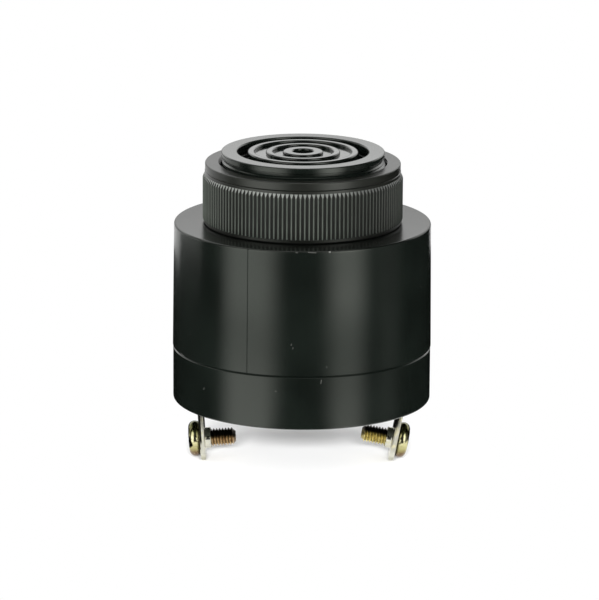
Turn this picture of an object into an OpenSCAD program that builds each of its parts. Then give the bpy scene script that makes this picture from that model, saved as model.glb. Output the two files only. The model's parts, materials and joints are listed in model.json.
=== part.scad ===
// Panel-mount electronic buzzer: a piezo sounder in a round moulded housing, held in a
// panel by a knurled ring nut, with two screw terminals under its base.
// Millimetres. +Z runs along the axis towards the grille and z = 0 is the shoulder
// that bears on the back of the panel. The terminals lie on the X axis.

/* [Housing] */
// Diameter of the housing at the seam above the base cap
body_d = 43.2; // [41:0.1:50]
// How much smaller the diameter is up at the shoulder (moulding draft)
body_draft = 0.4; // [0:0.1:1]
// Height from the seam up to the shoulder
body_h = 21.1; // [20:0.1:30]
// Radius of the rounded shoulder edge
shoulder_edge_r = 0.35; // [0.2:0.05:1.6]
// Thickness of the side wall at the seam
wall = 1.8; // [1.5:0.1:2.4]
// Thickness of the front wall under the shoulder
front_wall = 2.2; // [1.6:0.1:3]
// Break on the two edges that meet at the seam
seam_break = 0.2; // [0.1:0.05:0.4]
// Number of inner ribs that hold the board down
rib_count = 4; // [3:1:8]
// Angle that each inner rib takes up
rib_angle = 6; // [3:1:12]

/* [Grille] */
// Height of the grille face above the shoulder
neck_h = 12.0; // [10:0.1:15]
// Thickness of the grille face
face_t = 3.0; // [2.6:0.1:4]
// Diameter of the sound hole in the middle
centre_hole_d = 3.4; // [2:0.1:4.4]
// Width of the inner ring
inner_ring_w = 1.67; // [1:0.01:2.2]
// Width of the slot around the inner ring
inner_slot_w = 1.63; // [1:0.01:2.2]
// Width of the middle ring
middle_ring_w = 1.17; // [0.8:0.01:1.6]
// Width of the slot around the middle ring
middle_slot_w = 1.87; // [1:0.01:2.2]
// Width of the outer ring
outer_ring_w = 1.16; // [0.8:0.01:1.6]
// Width of the slot around the outer ring
outer_slot_w = 1.7; // [1:0.01:2.2]
// Width of the rim outside the last slot
rim_w = 2.7; // [2.4:0.05:3.4]
// Depth of the two blind slots
blind_slot_depth = 0.5; // [0.3:0.05:1.4]
// Depth of the outer slot down to the bridges that cross it
open_slot_depth = 1.9; // [1.5:0.05:2.2]
// Number of bridges across the outer slot
bridge_count = 4; // [3:1:6]
// Angle that each bridge takes up
bridge_angle = 28; // [16:1:40]
// Step between the sides of the outer slot and the openings in its floor
window_step = 0.15; // [0.1:0.05:0.3]
// Break on the edges of the grille rings
grille_break = 0.15; // [0.05:0.05:0.25]

/* [Neck] */
// Height of the plain rim above the thread
rim_h = 0.85; // [0.7:0.05:1.2]
// Radius of the rounded rim edge
rim_edge_r = 0.25; // [0.15:0.05:0.6]
// Depth of the relief groove under the rim
relief_depth = 0.4; // [0.2:0.05:0.6]
// Height of the relief groove under the rim
relief_h = 0.6; // [0.4:0.05:1]
// Slope on the underside of the rim
rim_slope = 0.15; // [0.05:0.05:0.3]
// How far the thread core lies inside the rim
core_inset = 0.15; // [0.1:0.05:0.3]
// Distance from the outer slot to the bore of the neck
bore_step = 0.5; // [0.2:0.1:0.8]

/* [Ring nut] */
// How far the rim stands above the top of the nut
nut_proud = 1.85; // [1:0.05:3]
// Clearance between the rim and the bore of the nut
nut_clear = 0.1; // [0.05:0.01:0.25]
// Distance from the bore of the nut to the knurl crests
nut_wall = 2.95; // [2.6:0.05:4]
// Number of knurl ribs
knurl_count = 142; // [90:1:160]
// Height of the knurl ribs
knurl_depth = 0.25; // [0.15:0.05:0.4]
// Share of the rib pitch taken by the flat crest
knurl_crest = 0.2; // [0.16:0.02:0.5]
// Share of the rib pitch taken by the flat root
knurl_root = 0.36; // [0.1:0.02:0.4]
// Height of the plain lip under the knurl
lip_h = 0.6; // [0.4:0.05:1]
// How far the lip lies inside the knurl crests
lip_inset = 0.15; // [0.1:0.05:0.3]
// Chamfer on the bottom edge of the lip
lip_break = 0.2; // [0.1:0.05:0.3]
// Height of the slope at the foot of the ribs
rib_foot_h = 0.15; // [0.1:0.05:1]
// Height of the sloping run-out at the top of the ribs
runout_h = 0.75; // [0.4:0.05:1.2]
// Height of the plain ledge above the knurl
ledge_h = 0.53; // [0.3:0.01:0.8]
// How far the ledge lies inside the knurl roots
ledge_inset = 0.1; // [0.05:0.05:0.2]
// Depth and half height of the fine groove between the ledge and the band
groove_depth = 0.1; // [0.05:0.01:0.2]
// Height of the plain band at the top
band_h = 1.32; // [1:0.01:1.8]
// How far the band lies inside the knurl crests
band_inset = 0.4; // [0.35:0.05:0.9]
// Radius of the top outer edge
band_edge_r = 0.22; // [0.1:0.02:0.4]
// Chamfer at both mouths of the bore
nut_mouth = 0.35; // [0.2:0.05:0.5]

/* [Base cap] */
// How far the base cap lies inside the housing at the seam
base_inset = 0.07; // [0:0.01:0.2]
// Height of the base cap under the seam
base_h = 9.0; // [8:0.1:14]
// Radius of the rounded bottom edge
base_edge_r = 0.35; // [0.2:0.05:1.6]
// Thickness of the floor
base_floor = 2.0; // [1.6:0.1:3]
// Height of the spigot that enters the housing
spigot_h = 3.5; // [2.5:0.1:5]
// Wall of the spigot
spigot_wall = 1.5; // [1.2:0.1:1.6]
// Chamfer at the top of the spigot
spigot_break = 0.4; // [0.2:0.1:0.8]
// Clearance between the spigot and the housing
spigot_clear = 0.1; // [0.05:0.01:0.2]

/* [Terminals] */
// Distance from the side of the base cap in to the middle of a terminal
tab_inset = 4.43; // [4.3:0.01:6]
// Thickness of the terminal metal
tab_t = 0.85; // [0.6:0.05:1]
// Width of a terminal
tab_w = 7.0; // [6.4:0.1:7.4]
// Radius of the corners at the free end
tab_corner_r = 2.6; // [1:0.1:3]
// Distance from the base down to the screw
tab_drop = 7.55; // [6.5:0.05:10]
// Distance from the screw down to the free end
tab_tail = 3.5; // [3.2:0.05:5]
// Inward lean of the left terminal, in degrees
left_lean = 4; // [0:0.5:14]
// Inward lean of the right terminal, in degrees
right_lean = 11; // [0:0.5:14]
// Clearance around a terminal in the floor and the board
tab_clear = 0.1; // [0.05:0.01:0.2]
// Height of the stop flange that rests on the floor inside
flange_h = 1.6; // [1:0.1:2.4]
// Width of the stop flange
flange_w = 8.6; // [8:0.1:8.6]
// Width of the solder tail that passes the board
tail_w = 3.0; // [2:0.1:4]
// Chamfer at the tip of the solder tail
tail_break = 0.5; // [0.2:0.1:0.9]
// How far the solder tail stands above the board
tail_proud = 0.8; // [0.4:0.1:1.5]
// Outer diameter of the drawn collar around the tapped hole
collar_d = 3.5; // [3.4:0.1:4.6]
// Length of the drawn collar
collar_l = 1.0; // [0.5:0.1:1.6]

/* [Terminal screws] */
// Thread diameter
screw_d = 2.96; // [2.5:0.01:3]
// Length under the head
screw_l = 6.0; // [5:0.1:8]
// Diameter of the head
head_d = 6.0; // [5:0.1:6.2]
// Height of the head
head_h = 1.9; // [1.5:0.1:2.4]
// How much smaller the radius of the head is at its seat
head_draw = 0.3; // [0.1:0.05:0.5]
// Radius of the rounded head edge
head_edge_r = 1.05; // [0.6:0.05:1.3]
// Length across the cross recess
recess_l = 3.2; // [2.4:0.1:3.4]
// Width of one arm of the cross recess
recess_w = 0.75; // [0.5:0.05:1]
// Depth of the cross recess
recess_depth = 1.2; // [0.8:0.1:1.3]
// Chamfer at the point of the screw
screw_point = 0.4; // [0.2:0.05:0.6]
// Clearance between the screw and the tapped hole
screw_clear = 0.06; // [0.03:0.01:0.12]

/* [Sounder] */
// Gap between the cavity wall and the collar around the diaphragm
seat_gap = 1.25; // [0.8:0.05:2]
// Thickness of the brass diaphragm
diaphragm_t = 0.25; // [0.2:0.05:0.4]
// Width of the bare brass between the ceramic disc and the ledge
ceramic_margin = 4.7; // [3:0.1:6]
// Thickness of the ceramic disc
ceramic_t = 0.25; // [0.2:0.05:0.4]
// Depth of the air gap between the front wall and the diaphragm
air_gap = 2.0; // [1:0.1:3]
// Width of the ledge that carries the diaphragm edge
seat_w = 1.3; // [1:0.1:1.6]
// Wall of the collar around the diaphragm
seat_wall = 1.0; // [0.8:0.1:1.4]
// Height of the ring that holds the diaphragm down
retainer_h = 1.5; // [1:0.1:2]
// Clearance around the diaphragm and its ring
seat_clear = 0.05; // [0.03:0.01:0.1]

/* [Drive circuit] */
// Thickness of the circuit board
board_t = 1.6; // [1:0.1:1.6]
// How far the edge of the board lies inside the spigot's outside
board_inset = 0.9; // [0.6:0.1:1.1]
// Diameter of the component leads
lead_d = 0.6; // [0.4:0.05:0.6]
// Clearance around a lead in the board
lead_clear = 0.05; // [0.03:0.01:0.1]
// How far the leads stand out under the board
lead_proud = 0.9; // [0.5:0.1:1.5]
// Diameter of the drum coil
coil_d = 9.0; // [7:0.1:10]
// Diameter of the drum coil's middle post
coil_post_d = 3.6; // [2.5:0.1:4.5]
// Thickness of the drum coil's flanges
coil_flange_t = 1.2; // [0.8:0.1:1.6]
// How far the winding lies inside the flanges
winding_inset = 0.4; // [0.2:0.1:1]
// Room between the top of the drum coil and the ceramic disc
coil_room = 3.3; // [1:0.1:5]
// Diameter of the capacitor
capacitor_d = 5.0; // [4:0.1:6]
// Height of the capacitor
capacitor_h = 7.0; // [5:0.1:8]
// Diameter of a resistor
resistor_d = 2.3; // [1.8:0.1:2.5]
// Length of a resistor
resistor_l = 6.3; // [5:0.1:6.5]
// Diameter of the diode
diode_d = 2.7; // [2:0.1:2.8]
// Length of the diode
diode_l = 5.2; // [4:0.1:5.5]
// Diameter of the transistor
transistor_d = 4.7; // [4:0.1:5]
// Height of the transistor
transistor_h = 4.6; // [4:0.1:5]
// How much the flat takes off the transistor
transistor_flat = 1.0; // [0.5:0.1:1.5]
// Height of the transistor above the board
leg_h = 2.0; // [1:0.1:3]
// Diameter of the lead wires to the sounder
wire_d = 0.9; // [0.6:0.1:1.1]

/* [Hidden] */
$fn = 96;

// How far a cut runs past the face that it opens
cut_over = 1;
// How far joined shapes of one piece run into each other
overlap = 0.5;
// How far the leaning blade and its stem run into each other at the bend
bend_lap = 0.15;

// Heights along the axis
z_seam = -body_h;
z_bottom = z_seam - base_h;
z_floor = z_bottom + base_floor;
z_board = z_seam + spigot_h;
z_board_top = z_board + board_t;
z_face_under = neck_h - face_t;
z_rim = neck_h - rim_h;
z_seat = -front_wall - air_gap;
z_seat_end = z_seat - diaphragm_t - retainer_h;
z_ceramic = z_seat - diaphragm_t - ceramic_t;

// Housing and base cap radii
seam_r = body_d / 2;
top_r = (body_d - body_draft) / 2;
cavity_r = seam_r - wall;
base_r = seam_r - base_inset;
spigot_r = cavity_r - spigot_clear;
spigot_in_r = spigot_r - spigot_wall;
board_r = spigot_r - board_inset;

// Grille radii from the middle outwards
hole_r = centre_hole_d / 2;
inner_ring_r = hole_r + inner_ring_w;
middle_ring_in = inner_ring_r + inner_slot_w;
middle_ring_r = middle_ring_in + middle_ring_w;
outer_ring_in = middle_ring_r + middle_slot_w;
outer_ring_r = outer_ring_in + outer_ring_w;
rim_in = outer_ring_r + outer_slot_w;
rim_r = rim_in + rim_w;
core_r = rim_r - core_inset;
relief_r = rim_r - relief_depth;
neck_bore_r = rim_in + bore_step;

// Ring nut
nut_h = neck_h - nut_proud;
nut_bore_r = rim_r + nut_clear;
crest_r = nut_bore_r + nut_wall;
root_r = crest_r - knurl_depth;
band_r = crest_r - band_inset;
ledge_r = root_r - ledge_inset;
lip_r = crest_r - lip_inset;
z_step = nut_h - band_h;
z_knurl_top = z_step - ledge_h;

// Terminals and their screws
tab_x = base_r - tab_inset;
hole_tab_r = screw_d / 2 + screw_clear;

// Sounder, from the cavity wall inwards
collar_out_r = cavity_r - seat_gap;
collar_in_r = collar_out_r - seat_wall;
diaphragm_r = collar_in_r - seat_clear;
seat_in_r = diaphragm_r - seat_w;
ceramic_r = seat_in_r - ceramic_margin;

// Component positions on the board: x, y
coil_at = [6.5, 6.5];
capacitor_at = [-7.5, 8];
transistor_at = [0, -10];
resistor_a_at = [-6, 0];
resistor_b_at = [-6, -4.2];
diode_at = [7.5, -4.5];
ceramic_wire_at = [1.2, -0.8];
coil_h = z_ceramic - coil_room - z_board_top;

// Leads and wires
lead_bend = 1.0;
lead_run = 0.8;
pin_pitch = 2.5;
leg_pitch = 1.27;
leg_d = 0.5;
axial_gap = 0.1;
wire_r = wire_d / 2;
wire_rise = 2.5;
wire_bend = 1.4;
wire_run = 1.2;
wire_span = 2 * wire_bend + wire_run;
joint_d = 1.8;
joint_h = 0.7;

// The ground wire ends in the middle of the bare brass around the ceramic disc
ground_joint_r = seat_in_r - ceramic_margin / 2;
ground_wire_at = [-wire_span / 2, sqrt(pow(ground_joint_r, 2) - pow(wire_span / 2, 2))];

// Points of an arc in the profile plane, from angle a0 to a1
function arc(cr, cz, r, a0, a1, n = 8) =
    [for (i = [0:n]) let (a = a0 + (a1 - a0) * i / n) [cr + r * cos(a), cz + r * sin(a)]];

// Profile points of one grille ring: up its inner side, across and down its outer side
function grille_ring(r0, r1, floor_in, floor_out) = [
    [r0, floor_in],
    [r0, neck_h - grille_break],
    [r0 + grille_break, neck_h],
    [r1 - grille_break, neck_h],
    [r1, neck_h - grille_break],
    [r1, floor_out]
];

// Half section of the housing: grille, neck, shoulder, side wall and diaphragm seat
module housing_profile() {
    blind = neck_h - blind_slot_depth;
    open = neck_h - open_slot_depth;
    polygon(concat(
        grille_ring(hole_r, inner_ring_r, z_face_under, blind),
        grille_ring(middle_ring_in, middle_ring_r, blind, blind),
        grille_ring(outer_ring_in, outer_ring_r, blind, open),
        [[rim_in, open], [rim_in, neck_h - grille_break], [rim_in + grille_break, neck_h]],
        arc(rim_r - rim_edge_r, neck_h - rim_edge_r, rim_edge_r, 90, 0),
        [[rim_r, z_rim], [relief_r, z_rim - rim_slope], [relief_r, z_rim - relief_h]],
        [[core_r, z_rim - relief_h - core_r + relief_r], [core_r, 0]],
        arc(top_r - shoulder_edge_r, -shoulder_edge_r, shoulder_edge_r, 90, 0),
        [[seam_r, z_seam + seam_break], [seam_r - seam_break, z_seam], [cavity_r, z_seam]],
        [[cavity_r, -front_wall], [collar_out_r, -front_wall], [collar_out_r, z_seat_end]],
        [[collar_in_r, z_seat_end], [collar_in_r, z_seat], [seat_in_r, z_seat]],
        [[seat_in_r, -front_wall], [neck_bore_r, -front_wall], [neck_bore_r, z_face_under]]
    ));
}

// Opening through the floor of the outer slot, between two bridges
module grille_window() {
    open_angle = 360 / bridge_count - bridge_angle;
    rotate([0, 0, bridge_angle / 2])
        rotate_extrude(angle = open_angle)
            translate([outer_ring_r + window_step, z_face_under - cut_over])
                square([outer_slot_w - 2 * window_step, face_t - open_slot_depth + 2 * cut_over]);
}

// Rib inside the side wall that holds the board down on the spigot
module board_rib() {
    rotate([0, 0, -rib_angle / 2])
        rotate_extrude(angle = rib_angle)
            translate([collar_out_r - overlap, z_board_top])
                square([seat_gap + 2 * overlap, -front_wall - z_board_top + overlap]);
}

module housing() {
    color("#1d201e")
        difference() {
            union() {
                rotate_extrude()
                    housing_profile();
                for (i = [0:rib_count - 1])
                    rotate([0, 0, (i + 0.5) * 360 / rib_count])
                        board_rib();
            }
            for (i = [0:bridge_count - 1])
                rotate([0, 0, i * 360 / bridge_count])
                    grille_window();
        }
}

// Outline of the knurl: flat crests and roots joined by sloping flanks
function knurl_points() = [
    for (i = [0:knurl_count - 1]) let (p = 360 / knurl_count, a = i * p)
        each [
            [crest_r * cos(a - p * knurl_crest / 2), crest_r * sin(a - p * knurl_crest / 2)],
            [crest_r * cos(a + p * knurl_crest / 2), crest_r * sin(a + p * knurl_crest / 2)],
            [root_r * cos(a + p * (1 - knurl_root) / 2), root_r * sin(a + p * (1 - knurl_root) / 2)],
            [root_r * cos(a + p * (1 + knurl_root) / 2), root_r * sin(a + p * (1 + knurl_root) / 2)]
        ]
];

// Half section of the ring nut inside its ribs
module nut_profile() {
    polygon(concat(
        [[nut_bore_r + nut_mouth, 0], [lip_r - lip_break, 0], [lip_r, lip_break], [lip_r, lip_h]],
        [[ledge_r, lip_h], [ledge_r, z_step - groove_depth], [band_r - groove_depth, z_step]],
        [[band_r, z_step + groove_depth]],
        arc(band_r - band_edge_r, nut_h - band_edge_r, band_edge_r, 0, 90, 6),
        [[nut_bore_r + nut_mouth, nut_h], [nut_bore_r, nut_h - nut_mouth]],
        [[nut_bore_r, nut_mouth]]
    ));
}

// Half section that trims both ends of the ribs
module knurl_envelope() {
    out_r = crest_r + overlap;
    z_foot = lip_h + rib_foot_h * (out_r - lip_r) / (crest_r - lip_r);
    z_runout = z_knurl_top - runout_h * (out_r - ledge_r) / (crest_r - ledge_r);
    polygon([
        [ledge_r - overlap, lip_h],
        [lip_r, lip_h],
        [out_r, z_foot],
        [out_r, z_runout],
        [ledge_r, z_knurl_top],
        [ledge_r - overlap, z_knurl_top]
    ]);
}

module ring_nut() {
    color("#232624")
        union() {
            rotate_extrude()
                nut_profile();
            intersection() {
                translate([0, 0, lip_h])
                    linear_extrude(height = z_knurl_top - lip_h)
                        difference() {
                            polygon(knurl_points());
                            circle(r = ledge_r - overlap / 2);
                        }
                rotate_extrude()
                    knurl_envelope();
            }
        }
}

// Half section of the base cap: floor, side wall and spigot
module base_profile() {
    polygon(concat(
        [[0, z_floor], [0, z_bottom]],
        arc(base_r - base_edge_r, z_bottom + base_edge_r, base_edge_r, -90, 0),
        [[base_r, z_seam - seam_break], [base_r - seam_break, z_seam], [spigot_r, z_seam]],
        [[spigot_r, z_board - spigot_break], [spigot_r - spigot_break, z_board], [spigot_in_r, z_board]],
        [[spigot_in_r, z_floor]]
    ));
}

module base_cap() {
    slot = [tab_t + 2 * tab_clear, tab_w + 2 * tab_clear, base_floor + 2 * cut_over];
    color("#202321")
        difference() {
            rotate_extrude()
                base_profile();
            for (x = [-tab_x, tab_x])
                translate([x, 0, z_bottom + base_floor / 2])
                    cube(slot, center = true);
        }
}

// Outline of the blade below the base, with its bend at height 0 and its free end rounded
module blade_outline() {
    half = tab_w / 2;
    z_corner = tab_corner_r - tab_drop - tab_tail;
    polygon(concat(
        [[half, bend_lap], [-half, bend_lap]],
        arc(tab_corner_r - half, z_corner, tab_corner_r, 180, 270, 12),
        arc(half - tab_corner_r, z_corner, tab_corner_r, 270, 360, 12)
    ));
}

// Sheet of terminal metal standing in the plane x = 0
module sheet() {
    translate([-tab_t / 2, 0, 0])
        rotate([90, 0, 90])
            linear_extrude(height = tab_t)
                children();
}

// One terminal on the +X side: solder tail, stop flange and leaning blade with its collar
module terminal(lean) {
    tail_top = z_board_top + tail_proud;
    difference() {
        union() {
            translate([tab_x, 0, 0])
                sheet()
                    polygon([
                        [-tab_w / 2, z_bottom - bend_lap],
                        [tab_w / 2, z_bottom - bend_lap],
                        [tab_w / 2, z_floor],
                        [flange_w / 2, z_floor],
                        [flange_w / 2, z_floor + flange_h],
                        [tail_w / 2, z_floor + flange_h],
                        [tail_w / 2, tail_top - tail_break],
                        [tail_w / 2 - tail_break, tail_top],
                        [-tail_w / 2 + tail_break, tail_top],
                        [-tail_w / 2, tail_top - tail_break],
                        [-tail_w / 2, z_floor + flange_h],
                        [-flange_w / 2, z_floor + flange_h],
                        [-flange_w / 2, z_floor],
                        [-tab_w / 2, z_floor]
                    ]);
            at_bend(lean) {
                sheet()
                    blade_outline();
                translate([-tab_t / 2 - collar_l, 0, -tab_drop])
                    rotate([0, 90, 0])
                        cylinder(d = collar_d, h = collar_l + tab_t / 2);
            }
        }
        at_bend(lean)
            translate([0, 0, -tab_drop])
                rotate([0, 90, 0])
                    cylinder(r = hole_tab_r, h = 2 * (tab_t + collar_l + cut_over), center = true);
    }
}

// Place things in the frame of a leaning blade on the +X side
module at_bend(lean) {
    translate([tab_x, 0, z_bottom])
        rotate([0, lean, 0])
            children();
}

module left_terminal() {
    color("#c9c6b8")
        rotate([0, 0, 180])
            terminal(left_lean);
}

module right_terminal() {
    color("#c9c6b8")
        terminal(right_lean);
}

// One pan-head screw on the +X side, its head tight on the outer face of the blade
module terminal_screw(lean) {
    at_bend(lean)
        translate([tab_t / 2, 0, -tab_drop])
            rotate([0, 90, 0])
                difference() {
                    rotate_extrude()
                        polygon(concat(
                            [[0, head_h], [0, -screw_l], [screw_d / 2 - screw_point, -screw_l]],
                            [[screw_d / 2, -screw_l + screw_point], [screw_d / 2, 0]],
                            [[head_d / 2 - head_draw, 0]],
                            arc(head_d / 2 - head_edge_r, head_h - head_edge_r, head_edge_r, 0, 90)
                        ));
                    for (a = [0, 90])
                        rotate([0, 0, a])
                            translate([0, 0, head_h])
                                cube([recess_l, recess_w, 2 * recess_depth], center = true);
                }
}

module left_terminal_screw() {
    color("#b59a4e")
        rotate([0, 0, 180])
            terminal_screw(left_lean);
}

module right_terminal_screw() {
    color("#b59a4e")
        terminal_screw(right_lean);
}

module piezo_diaphragm() {
    color("#c8a24a")
        translate([0, 0, z_seat - diaphragm_t])
            cylinder(r = diaphragm_r, h = diaphragm_t);
}

module piezo_ceramic() {
    color("#d9d6c8")
        translate([0, 0, z_ceramic])
            cylinder(r = ceramic_r, h = ceramic_t);
}

module diaphragm_retainer() {
    color("#2b2e2c")
        translate([0, 0, z_seat_end])
            difference() {
                cylinder(r = diaphragm_r, h = retainer_h);
                translate([0, 0, -cut_over])
                    cylinder(r = seat_in_r, h = retainer_h + 2 * cut_over);
            }
}

// Hole for one round lead through the board
module lead_hole(at, d) {
    translate([at[0], at[1], z_board - cut_over])
        cylinder(d = d + 2 * lead_clear, h = board_t + 2 * cut_over, $fn = 32);
}

module circuit_board() {
    slot = [tab_t + 2 * tab_clear, tail_w + 2 * tab_clear, board_t + 2 * cut_over];
    color("#3d6b3a")
        difference() {
            translate([0, 0, z_board])
                cylinder(r = board_r, h = board_t);
            for (x = [-tab_x, tab_x])
                translate([x, 0, z_board + board_t / 2])
                    cube(slot, center = true);
            for (s = [-1, 1]) {
                lead_hole(coil_at + [s * pin_pitch, 0], lead_d);
                lead_hole(capacitor_at + [s * pin_pitch / 2, 0], lead_d);
                lead_hole(transistor_at + [s * leg_pitch, 0], leg_d);
                lead_hole(resistor_a_at + [s * axial_reach(resistor_l), 0], lead_d);
                lead_hole(resistor_b_at + [s * axial_reach(resistor_l), 0], lead_d);
                lead_hole(diode_at + [s * axial_reach(diode_l), 0], lead_d);
            }
            lead_hole(transistor_at, leg_d);
            lead_hole(ceramic_wire_at, wire_d);
            lead_hole(ground_wire_at, wire_d);
        }
}

// Distance from the middle of an axial component to the lead that enters the board
function axial_reach(part_l) = part_l / 2 + lead_run + lead_bend;

// Quarter of a round bend about the origin, from +X to +Y
module bend(r, d) {
    rotate_extrude(angle = 90)
        translate([r, 0])
            circle(d = d, $fn = 32);
}

// Pin that goes down through the board from a height above it
module pin(at, z_from, d) {
    z_end = z_board - lead_proud;
    translate([at[0], at[1], z_end])
        cylinder(d = d, h = z_from - z_end, $fn = 32);
}

// Axial component lying along X, with both leads bent down through the board
module axial_part(at, part_d, part_l) {
    zc = z_board_top + part_d / 2 + axial_gap;
    union() {
        translate([at[0] - part_l / 2, at[1], zc])
            rotate([0, 90, 0])
                cylinder(d = part_d, h = part_l, $fn = 48);
        for (s = [0, 180])
            translate([at[0], at[1], zc])
                rotate([0, 0, s]) {
                    translate([part_l / 2 - overlap, 0, 0])
                        rotate([0, 90, 0])
                            cylinder(d = lead_d, h = lead_run + overlap, $fn = 32);
                    translate([part_l / 2 + lead_run, 0, -lead_bend])
                        rotate([90, 0, 0])
                            bend(lead_bend, lead_d);
                }
        for (s = [-1, 1])
            pin(at + [s * axial_reach(part_l), 0], zc - lead_bend, lead_d);
    }
}

module resistor_a() {
    color("#b9a077")
        axial_part(resistor_a_at, resistor_d, resistor_l);
}

module resistor_b() {
    color("#b9a077")
        axial_part(resistor_b_at, resistor_d, resistor_l);
}

module diode() {
    color("#33302c")
        axial_part(diode_at, diode_d, diode_l);
}

// Ferrite drum with its two pins
module coil_core() {
    color("#4a4744")
        union() {
            translate([coil_at[0], coil_at[1], z_board_top]) {
                cylinder(d = coil_d, h = coil_flange_t);
                cylinder(d = coil_post_d, h = coil_h);
                translate([0, 0, coil_h - coil_flange_t])
                    cylinder(d = coil_d, h = coil_flange_t);
            }
            for (s = [-1, 1])
                pin(coil_at + [s * pin_pitch, 0], z_board_top + overlap, lead_d);
        }
}

// Copper winding between the flanges of the drum
module coil_winding() {
    winding_h = coil_h - 2 * coil_flange_t;
    color("#a65a2a")
        translate([coil_at[0], coil_at[1], z_board_top + coil_flange_t])
            difference() {
                cylinder(r = coil_d / 2 - winding_inset, h = winding_h);
                translate([0, 0, -cut_over])
                    cylinder(d = coil_post_d, h = winding_h + 2 * cut_over);
            }
}

module capacitor() {
    color("#2d3350")
        union() {
            translate([capacitor_at[0], capacitor_at[1], z_board_top])
                cylinder(d = capacitor_d, h = capacitor_h);
            for (s = [-1, 1])
                pin(capacitor_at + [s * pin_pitch / 2, 0], z_board_top + overlap, lead_d);
        }
}

// Transistor with one flat side, standing on three legs
module transistor() {
    side = transistor_d + 2 * cut_over;
    color("#262626")
        union() {
            translate([transistor_at[0], transistor_at[1], z_board_top + leg_h])
                difference() {
                    cylinder(d = transistor_d, h = transistor_h, $fn = 48);
                    translate([-side / 2, -side / 2, -cut_over])
                        cube([side, transistor_flat + cut_over, transistor_h + 2 * cut_over]);
                }
            for (s = [-1, 0, 1])
                pin(transistor_at + [s * leg_pitch, 0], z_board_top + leg_h + overlap, leg_d);
        }
}

// Wire from the board up to z_end, with an S-bend that takes up slack towards +X
module sounder_wire(at, z_end) {
    z_start = z_board - lead_proud;
    z_low = z_board_top + wire_rise;
    z_high = z_low + 2 * wire_bend;
    translate([at[0], at[1], 0])
        union() {
            translate([0, 0, z_start])
                cylinder(r = wire_r, h = z_low - z_start, $fn = 32);
            translate([wire_bend, 0, z_low])
                rotate([90, 0, 0])
                    rotate([0, 0, 90])
                        bend(wire_bend, wire_d);
            translate([wire_bend, 0, z_low + wire_bend])
                rotate([0, 90, 0])
                    cylinder(r = wire_r, h = wire_run, $fn = 32);
            translate([wire_bend + wire_run, 0, z_high])
                rotate([90, 0, 0])
                    rotate([0, 0, 270])
                        bend(wire_bend, wire_d);
            translate([wire_span, 0, z_high])
                cylinder(r = wire_r, h = z_end - z_high, $fn = 32);
            translate([wire_span, 0, z_end - joint_h])
                cylinder(d1 = wire_d, d2 = joint_d, h = joint_h, $fn = 32);
        }
}

module ceramic_wire() {
    color("#a03028")
        sounder_wire(ceramic_wire_at, z_ceramic);
}

module ground_wire() {
    color("#303030")
        sounder_wire(ground_wire_at, z_seat - diaphragm_t);
}

housing();
ring_nut();
base_cap();
left_terminal();
right_terminal();
left_terminal_screw();
right_terminal_screw();
piezo_diaphragm();
piezo_ceramic();
diaphragm_retainer();
circuit_board();
coil_core();
coil_winding();
capacitor();
transistor();
resistor_a();
resistor_b();
diode();
ceramic_wire();
ground_wire();
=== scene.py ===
"""Looks of a panel-mount electronic buzzer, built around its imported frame.

Shapes and finishes are worked out in millimetres, and a mesh is in metres once it is made.
"""
import json
import math

import bmesh
import bpy
import numpy as np
from mathutils import Matrix, Vector


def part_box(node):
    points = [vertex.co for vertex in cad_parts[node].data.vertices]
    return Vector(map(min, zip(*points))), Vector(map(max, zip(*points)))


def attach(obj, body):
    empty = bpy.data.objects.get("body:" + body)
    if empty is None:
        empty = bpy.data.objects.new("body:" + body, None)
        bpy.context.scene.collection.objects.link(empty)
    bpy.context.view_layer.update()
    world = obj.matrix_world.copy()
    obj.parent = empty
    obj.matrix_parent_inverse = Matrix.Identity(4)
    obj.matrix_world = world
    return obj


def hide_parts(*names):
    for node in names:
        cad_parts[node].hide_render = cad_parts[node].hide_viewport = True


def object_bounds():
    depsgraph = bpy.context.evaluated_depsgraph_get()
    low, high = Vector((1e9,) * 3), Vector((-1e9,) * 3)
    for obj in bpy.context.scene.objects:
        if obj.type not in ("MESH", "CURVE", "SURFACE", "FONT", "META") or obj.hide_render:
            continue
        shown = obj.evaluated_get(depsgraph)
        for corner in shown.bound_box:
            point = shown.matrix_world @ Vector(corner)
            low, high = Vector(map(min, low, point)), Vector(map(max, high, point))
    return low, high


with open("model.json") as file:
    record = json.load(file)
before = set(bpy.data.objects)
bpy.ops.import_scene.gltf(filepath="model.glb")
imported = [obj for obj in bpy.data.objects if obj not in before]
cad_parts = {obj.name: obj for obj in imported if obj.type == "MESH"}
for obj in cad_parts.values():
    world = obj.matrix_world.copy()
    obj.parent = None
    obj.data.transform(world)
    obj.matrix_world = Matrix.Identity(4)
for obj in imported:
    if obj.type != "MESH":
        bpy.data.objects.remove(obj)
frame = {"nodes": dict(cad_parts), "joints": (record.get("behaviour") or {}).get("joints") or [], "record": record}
cad_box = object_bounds()

MM = 0.001
TURN = 2 * math.pi


def node_box(node):
    """Lowest and highest corner of a frame node, in millimetres."""
    low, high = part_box(node)
    return np.array(low) / MM, np.array(high) / MM


joint_axis = {joint["name"]: np.array(joint["axis"], float) for joint in frame["joints"]}
mount_place = {m["name"]: np.array(m["pos_m"], float) / MM for m in frame["record"]["mounts"]}
housing_low, housing_high = node_box("housing")
base_low = node_box("base_cap")[0]
nut_high = node_box("ring_nut")[1]
floor_z = cad_box[0].z / MM

# Mesh making
weld_gap = 0.0008
sliver_size = 0.0002
flat_margin = 0.04
crease_angle = 35
same_angle = 1e-6

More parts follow.
